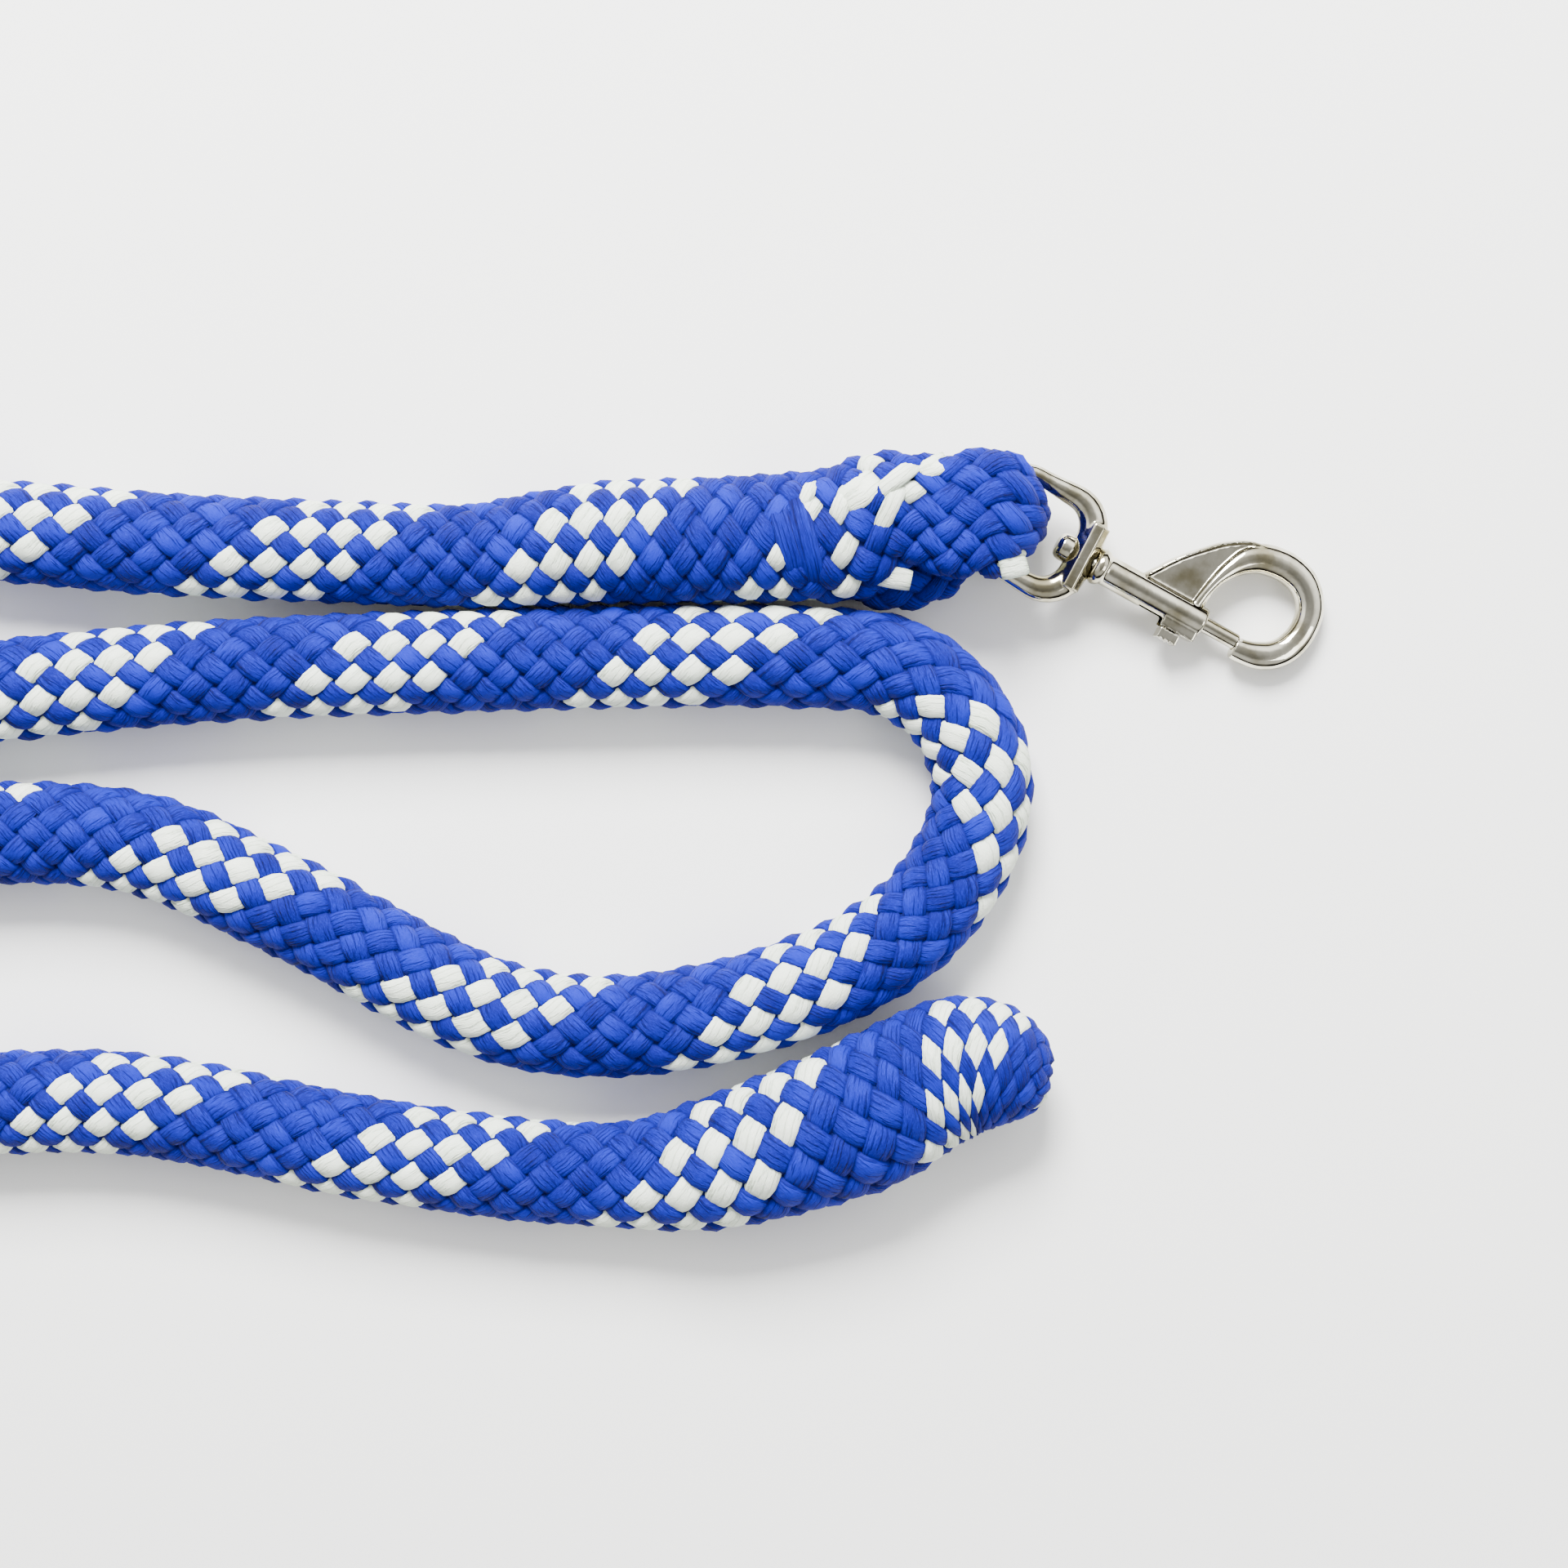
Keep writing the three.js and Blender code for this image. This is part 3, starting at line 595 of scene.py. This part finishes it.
def yarnMaterial(name, tones, yarn, cells):
    material, shade = newMaterial(name)
    uv = shade.node("ShaderNodeUVMap", {"uv_map": "OFBake"}) * float(cells)
    across, along = (uv.part(k).function("FRACT") for k in (0, 1))
    cellX, cellY = (uv.part(k).function("FLOOR") for k in (0, 1))
    seed = cellX * 3.7 + cellY * 11.3
    place = shade.node("ShaderNodeCombineXYZ", inputs={0: across, 1: along, 2: seed})
    wander = shade.node("ShaderNodeTexNoise", inputs={"Vector": place * (1.6, 1.6, 1.0), "Scale": 1.0, "Detail": 1.0})
    lanes = shade.node("ShaderNodeCombineXYZ", inputs={
        0: across + (wander - 0.5) * yarn["wander"], 1: along * 0.1, 2: seed})
    coarse = shade.node("ShaderNodeTexNoise", inputs={"Vector": lanes, "Scale": float(yarn["threads"]), "Detail": 0.0})
    hair = shade.node("ShaderNodeTexNoise", inputs={
        "Vector": lanes * (1.0, 2.5, 1.0), "Scale": yarn["threads"] * yarn["hairs"], "Detail": 2.0, "Roughness": 0.6})
    groove = coarse.between(0.3, 0.44, 0.0, 1.0)
    fine = hair.between(0.25, 0.75, 0.0, 1.0)
    tone = shade.node("ShaderNodeTexNoise", inputs={"Vector": place * (1.0, 1.0, 5.0), "Scale": 1.1, "Detail": 0.0})
    sideways = (across * 2 - 1).function("ABSOLUTE")
    endways = (along * 2 - 1).function("ABSOLUTE")
    # painted shade: each strand top darkens towards its sides and ends, as in the creases between strands; level
    # carries it into the colour
    paintedCreviceShade = sideways.between(0.66, 1.0, 1.0, 0.15) * endways.between(0.55, 0.95, 1.0, 0.15)
    level = (groove * 0.42 + fine * 0.3 + (tone - 0.5) * 0.6 + 0.26) * paintedCreviceShade
    low = level.between(0.0, 0.5, 0.0, 1.0).blend(colour(*tones["dark"]), colour(*tones["mid"]))
    base = level.between(0.5, 1.05, 0.0, 1.0).blend(low, colour(*tones["light"]))
    bump = shade.node("ShaderNodeBump", inputs={
        "Strength": yarn["bump"], "Distance": yarn["depth"], "Height": groove * 0.6 + fine * 0.4})
    surface(shade, {"Base Color": base, "Roughness": tones["rough"], "Normal": bump,
                    "Sheen Weight": tones["sheen"], "Sheen Roughness": 0.5, "Specular IOR Level": yarn["shine"]})
    return material


def innerYarnShadeMaterial(name):
    material, shade = newMaterial(name)
    # the inner yarn's own blue, darkened as painted shade for the gaps between strands
    surface(shade, {"Base Color": colour(14, 20, 84), "Roughness": 0.9, "Specular IOR Level": 0.1})
    return material


yarnMaterials = [
    yarnMaterial("blue_yarn", yarn["blue"], yarn, braid["cells"]),
    yarnMaterial("white_yarn", yarn["white"], yarn, braid["cells"]),
    innerYarnShadeMaterial("inner_yarn_gap_shade"),
]

at, rows, ropeLength = tubeRows(rope, eye, braid["step"])
toLength, toRow = rowMaps(rope, braid["strands"])
tube = Tube(at, rows, braid["inset"], braid["columns"])
print("rope length from the mouth", round(ropeLength, 1), "mm, eye", round(-at[0], 1), "mm")

ropeBraid = braidMesh("rope_braid", tube, braid, toLength, toRow, 0, at[-1], yarnMaterials)
eyeBraid = braidMesh("eye_braid", tube, braid, toLength, toRow, at[0] + 1, 0, yarnMaterials, patches["straps"])

line = curveThrough(rope["route"])
leastTall = 20
for s in np.arange(0, ropeLength, rope["gap"]):
    max(sizeAt(rope, s, ropeLength, 2), leastTall) / 2 * mm

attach(ropeBraid, "rope")
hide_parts("rope_run", "splice_sleeve", "buried_tail", "end_sleeve", "tucked_end")
ropeLength * mm
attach(eyeBraid, "rope")
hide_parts("eye_loop")
print("braid made,", len(ropeBraid.data.polygons), "faces")


# Metal

metals = {
    "nickel_plate": {"dull": (150, 143, 116), "bright": (218, 214, 196), "rough": (0.04, 0.13), "bump": 0.08},
    "spring_steel": {"dull": (120, 121, 124), "bright": (168, 168, 170), "rough": (0.24, 0.4), "bump": 0.25},
}


def metalMaterial(name, look):
    material, shade = newMaterial(name)
    place = shade.node("ShaderNodeTexCoord", output=3)
    cloud = shade.node("ShaderNodeTexNoise", inputs={"Vector": place, "Scale": 110.0, "Detail": 4.0})
    grain = shade.node("ShaderNodeTexNoise", inputs={"Vector": place, "Scale": 900.0, "Detail": 2.0})
    worn = cloud.between(0.32, 0.62, 0.0, 1.0)
    base = worn.blend(colour(*look["dull"]), colour(*look["bright"]))
    smooth, rough = look["rough"]
    bump = shade.node("ShaderNodeBump", inputs={
        "Strength": look["bump"], "Distance": 0.0003, "Height": grain * 0.25 + cloud})
    surface(shade, {
        "Base Color": base, "Metallic": 1.0, "Roughness": rough + worn * (smooth - rough), "Normal": bump})
    return material


nickel, steel = (metalMaterial(name, look) for name, look in metals.items())

# The snap, from its bar: x towards the hook, y to the hook's side

snap = {
    "at": (165.6, 72.9, 14.15),
    "x": (0.875647, -0.46559, -0.128329),
    "y": (0.469472, 0.882948, 0),
    "mouth": 59.4,
    "grain": 0.28,
}

swivelEye = {
    "half": 12.25,
    "corner": 6,
    "front": 24.75,
    "frontCorner": 8,
    "wire": 2.25,
    "frontWire": 3.7,
    # from, to, width, height
    "boss": (21.7, 27.8, 17.2, 7.5),
    "bossCut": 1.9,
    "hole": 2.1,
}

hook = {
    # x from the barrel's mouth, y, half width, half thickness
    "line": [
        (9.4, -1.5, 2.8, 2.75), (12.5, -1.2, 3.1, 3.0), (15.8, -0.4, 3.5, 3.3), (19.1, 1.4, 3.6, 3.4),
        (21.5, 4.2, 3.6, 3.4), (22.9, 7.8, 3.5, 3.3), (23.2, 11.7, 3.4, 3.3), (22.5, 15.3, 3.5, 3.3),
        (20.6, 18.4, 3.6, 3.4), (17.2, 21.0, 3.8, 3.5), (12.8, 22.1, 3.9, 3.5), (8.8, 21.9, 3.9, 3.5),
        (5.0, 20.8, 3.8, 3.5), (1.8, 18.4, 3.4, 3.4), (-0.5, 15.0, 2.6, 3.3), (-2.3, 11.0, 1.9, 3.1),
        (-3.4, 6.8, 1.6, 2.9), (-4.0, 3.2, 1.6, 2.7),
    ],
    "web": [
        (-18.2, 1.0), (-18.2, 4.2), (-12.9, 11.8), (-8.0, 16.9), (-4.6, 20.0), (-0.6, 22.4), (3.2, 21.8), (0.4, 15.8),
        (-1.5, 9.5), (-2.4, 1.0),
    ],
    "webThick": 3.4,
    "rim": [(-18.5, 3.6), (-13.0, 11.3), (-8.1, 16.5), (-4.3, 20.0), (0.5, 22.8), (5, 23.7)],
    "rimSize": (0.65, 2.7),
    "barrel": [
        (28.1, 0), (28.1, 3.4), (28.5, 4.3), (29.7, 4.78), (30.8, 4.5), (31.4, 3.9), (31.9, 3.85), (58.8, 3.9),
        (59.4, 3.5), (59.4, 0),
    ],
    "bore": 2.3,
    "boreFrom": 24,
    "pocket": 1.1,
    # from, to, down, up, half thickness
    "keel": (49.6, 58.9, -5.5, -1.5, 2.6),
    # from, to, half width
    "slot": (42.8, 54.4, 1.6),
}

small = {
    "stud": [
        (17.8, 0), (17.8, 1.9), (18.1, 2.7), (18.8, 3.3), (19.8, 3.5), (21.4, 3.5), (21.4, 1.8), (28.1, 1.8),
        (28.1, 2), (34.7, 2), (34.7, 0),
    ],
    "bolt": [(48.8, 0), (48.8, 2), (68.8, 2), (69.2, 1.75), (69.3, 1.5), (69.3, 0)],
    "knobAt": 52.8,
    "stem": 1.3,
    # along the barrel, depth, width
    "head": (5.2, 2.6, 4.4),
    "headStart": -5.8,
    "ridges": 3,
    "grain": 0.16,
}


def placed(points, snap):
    x, y = (np.array(snap[k]) for k in ("x", "y"))
    return np.array(snap["at"]) + points @ np.array([x, y, np.cross(x, y)])


def grid(rings, joined=False):
    rings = np.array(rings)
    n, sides = rings.shape[:2]
    index = np.arange(n * sides).reshape(n, sides)
    if joined:
        index = np.vstack([index, index[:1]])
    nextSide = np.roll(index, -1, axis=1)
    faces = [tuple(f) for f in np.stack([index[:-1], nextSide[:-1], nextSide[1:], index[1:]], axis=-1).reshape(-1, 4)]
    if not joined:
        faces += [tuple(index[0][::-1]), tuple(index[-1])]
    return rings.reshape(-1, 3), faces


# A bar along a flat line, with its half width and half thickness at each point
def barAlong(line, sides=24, joined=False, square=2.0):
    line = np.array(line, float)
    centres = line[:, :2]
    if joined:
        ahead = unit(np.roll(centres, -1, axis=0) - np.roll(centres, 1, axis=0))
    else:
        ahead = unit(np.gradient(centres, axis=0))
    side = np.column_stack([-ahead[:, 1], ahead[:, 0], np.zeros(len(line))])
    angle = np.arange(sides) * 2 * math.pi / sides
    cos, sin = (np.sign(f(angle)) * np.abs(f(angle)) ** (2 / square) for f in (np.cos, np.sin))
    middle = np.column_stack([centres, np.zeros(len(line))])
    rings = middle[:, None] + line[:, 2, None, None] * cos[:, None] * side[:, None]
    rings = rings + line[:, 3, None, None] * sin[:, None] * np.array([0, 0, 1.0])
    return grid(rings, joined)


def turned(profile, sides=40):
    angle = np.arange(sides) * 2 * math.pi / sides
    rings = [[(x, max(r, 1e-3) * math.cos(a), max(r, 1e-3) * math.sin(a)) for a in angle] for x, r in profile]
    return grid(rings)


def plate(outline, thick):
    return grid([[(x, y, z) for x, y in outline] for z in (-thick / 2, thick / 2)])


def block(lowX, highX, lowY, highY, half):
    return plate([(lowX, lowY), (highX, lowY), (highX, highY), (lowX, highY)], 2 * half)


def crossRod(x, fromY, toY, radius, sides=24):
    angle = np.arange(sides) * 2 * math.pi / sides
    return grid([[(x + radius * math.cos(a), y, radius * math.sin(a)) for a in angle] for y in (fromY, toY)])


def solidFrom(name, parts, snap):
    mesh = bpy.data.meshes.new(name)
    verts, faces = [], []
    for points, some in parts:
        faces += [tuple(i + len(verts) for i in f) for f in some]
        verts += [tuple(p) for p in placed(np.array(points), snap) * mm]
    mesh.from_pydata(verts, [], faces)
    work = bmesh.new()
    work.from_mesh(mesh)
    bmesh.ops.recalc_face_normals(work, faces=work.faces)
    work.to_mesh(mesh)
    work.free()
    made = bpy.data.objects.new(name, mesh)
    bpy.context.scene.collection.objects.link(made)
    return made


# One casting: its parts melted together with small fillets, then its holes cut
def casting(name, parts, cutters, snap, smooth, grain):
    made = solidFrom(name, parts, snap)
    melt = made.modifiers.new("melt", "REMESH")
    melt.mode = "VOXEL"
    melt.voxel_size = grain * mm
    soften = made.modifiers.new("soften", "SMOOTH")
    soften.factor = 0.5
    soften.iterations = smooth
    tools = [solidFrom(name + "_cut", [cutter], snap) for cutter in cutters]
    for tool in tools:
        hole = made.modifiers.new("hole", "BOOLEAN")
        hole.operation = "DIFFERENCE"
        hole.solver = "EXACT"
        hole.object = tool
    bpy.context.view_layer.update()
    baked = bpy.data.meshes.new_from_object(made.evaluated_get(bpy.context.evaluated_depsgraph_get()))
    made.modifiers.clear()
    made.data = baked
    for tool in tools:
        bpy.data.objects.remove(tool)
    for polygon in baked.polygons:
        polygon.use_smooth = True
    baked.set_sharp_from_angle(angle=math.radians(38))
    return made


def dress(obj, material, body, *nodes):
    obj.data.materials.clear()
    obj.data.materials.append(material)
    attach(obj, body)
    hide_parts(*nodes)


# The ring's line with its four rounded corners, and its thickness growing towards the boss
def ringLine(eye):
    half, corner, front, wide = eye["half"], eye["corner"], eye["front"], eye["frontCorner"]
    steps = 8
    points = []
    for cx, cy, r, start in ((corner, half - corner, corner, 180), (front - wide, half - wide, wide, 90),
                             (front - wide, wide - half, wide, 0), (corner, corner - half, corner, -90)):
        for step in range(steps + 1):
            a = math.radians(start - step * 90 / steps)
            points.append((cx + r * math.cos(a), cy + r * math.sin(a)))
    out = []
    points.append(points[0])
    for p, n in zip(points[:-1], points[1:]):
        many = max(1, round(math.dist(p, n) / 1.2))
        out += [tuple(np.array(p) + (np.array(n) - p) * k / many) for k in range(many)]
    grow = [np.interp(x, [front * 0.35, front], [eye["wire"], eye["frontWire"]]) for x, y in out]
    return [(x, y, g, eye["wire"] + (g - eye["wire"]) * 0.6) for (x, y), g in zip(out, grow)]


def rod(low, high, radius):
    return turned([(low, 0), (low, radius), (high, radius), (high, 0)])


# The boss across the ring, with its long edges cut off
def bossBlock(eye):
    low, high, wide, tall = eye["boss"]
    cut = eye["bossCut"]
    cx, hx, hz = (low + high) / 2, (high - low) / 2, tall / 2
    outline = (
        (hx, hz - cut), (hx - cut, hz), (cut - hx, hz), (-hx, hz - cut),
        (-hx, cut - hz), (cut - hx, -hz), (hx - cut, -hz), (hx, cut - hz),
    )
    return grid([[(cx + dx, y, dz) for dx, dz in outline] for y in (-wide / 2, wide / 2)])


past = 3
bossLow, bossHigh = swivelEye["boss"][:2]
eyeCasting = casting(
    "swivel_eye_casting", [barAlong(ringLine(swivelEye), joined=True), bossBlock(swivelEye)],
    [rod(bossLow - past, bossHigh + past, swivelEye["hole"])], snap, smooth=5, grain=snap["grain"])
dress(eyeCasting, nickel, "eye", "swivel_eye")

mouth = snap["mouth"]
hookLine = curveThrough(np.array(hook["line"]) + [mouth, 0, 0, 0], 6)
rimLine = curveThrough([(x + mouth, y, *hook["rimSize"]) for x, y in hook["rim"]], 6)
keelLow, keelHigh, keelDown, keelUp, keelHalf = hook["keel"]
slotLow, slotHigh, slotHalf = hook["slot"]
tip = mouth + hook["line"][0][0]
hookCasting = casting(
    "hook_casting",
    [turned(hook["barrel"]), barAlong(hookLine, square=2.3),
     plate([(x + mouth, y) for x, y in hook["web"]], hook["webThick"]), barAlong(rimLine, sides=12),
     block(keelLow, keelHigh, keelDown, keelUp, keelHalf)],
    [rod(hook["boreFrom"], mouth + 0.6, hook["bore"]), block(slotLow, slotHigh, keelDown - 2, -1, slotHalf),
     rod(tip - 2, tip + hook["pocket"], hook["bore"])],
    snap, smooth=5, grain=snap["grain"])
dress(hookCasting, nickel, "snap", "hook_body")

studPiece = casting("stud", [turned(small["stud"])], [], snap, smooth=2, grain=small["grain"])
dress(studPiece, nickel, "snap", "swivel_stud")
boltPiece = casting("sliding_bolt", [turned(small["bolt"])], [], snap, smooth=1, grain=small["grain"])
dress(boltPiece, nickel, "bolt", "bolt")


# The thumb block on its stem, ridged on its outer face
def knobShapes(small):
    longX, deepY, wideZ = small["head"]
    start, low, bottom = small["headStart"], small["knobAt"] - longX / 2, small["headStart"] - deepY
    ridge = longX / (2 * small["ridges"] + 1)
    stem = crossRod(small["knobAt"], -1.2, start - 0.4, small["stem"])
    head = block(low, small["knobAt"] + longX / 2, bottom + 0.3, start, wideZ / 2)
    ridges = [block(low + 2 * k * ridge, low + (2 * k + 1) * ridge, bottom, start - 0.5, wideZ / 2)
              for k in range(small["ridges"] + 1)]
    return [stem, head, *ridges]


knobPiece = casting("knob", knobShapes(small), [], snap, smooth=2, grain=small["grain"])
dress(knobPiece, nickel, "bolt", "thumb_knob")
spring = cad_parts["bolt_spring"]
spring.data.materials.clear()
spring.data.materials.append(steel)
print("snap made,", len(hookCasting.data.polygons), "faces in its hook")


# Floor and light

studio = {
    "floor": (243, 243, 241),
    "floorHalf": 4,
    "aim": (0.11, 0, 0),
    "key": {"at": (-0.05, 0.95, 0.9), "size": 0.55, "power": 78},
    "fill": {"at": (0.8, -0.3, 0.7), "size": 0.4, "power": 3},
    "sky": {"high": 3, "low": 0.02, "zenith": 0.26, "behind": 0.3, "horizon": (120, 92, 52)},
}


def makeFloor(shadeOf, half):
    mesh = bpy.data.meshes.new("floor")
    mesh.from_pydata([(-half, -half, 0), (half, -half, 0), (half, half, 0), (-half, half, 0)], [], [(0, 1, 2, 3)])
    made = bpy.data.objects.new("floor", mesh)
    bpy.context.scene.collection.objects.link(made)
    material, shade = newMaterial("floor")
    surface(shade, {"Base Color": colour(*shadeOf), "Roughness": 0.85})
    mesh.materials.append(material)


def turnTo(obj, target):
    away = Vector(target) - obj.location
    obj.rotation_euler = away.to_track_quat("-Z", "Y").to_euler()


def makeLight(name, settings, target):
    data = bpy.data.lights.new(name, "AREA")
    data.size = settings["size"]
    data.energy = settings["power"]
    made = bpy.data.objects.new(name, data)
    made.location = settings["at"]
    bpy.context.scene.collection.objects.link(made)
    bpy.context.view_layer.update()
    turnTo(made, target)


# Dark and warm at the horizon, bright half way up and dim overhead, for the metal to mirror
def makeSky(tones):
    world = bpy.data.worlds.new("world")
    bpy.context.scene.world = world
    world.use_nodes = True
    world.node_tree.nodes.clear()
    air = Shade(world.node_tree)
    way = air.node("ShaderNodeTexCoord", output=0)
    height = way.part(2)
    glow = height.between(0.2, 0.55, tones["low"], tones["high"]) * height.between(0.76, 0.95, 1.0, tones["zenith"])
    glow = glow * way.part(1).between(-0.5, 0.5, tones["behind"], 1.0)
    tint = height.between(0.1, 0.4, 0.0, 1.0).blend(colour(*tones["horizon"]), (1, 1, 1, 1))
    sky = air.node("ShaderNodeBackground", inputs={0: tint, 1: glow})
    air.node("ShaderNodeOutputWorld", inputs={0: sky})


makeFloor(studio["floor"], studio["floorHalf"])
for name in ("key", "fill"):
    makeLight(name, studio[name], studio["aim"])
makeSky(studio["sky"])
print("studio ready")
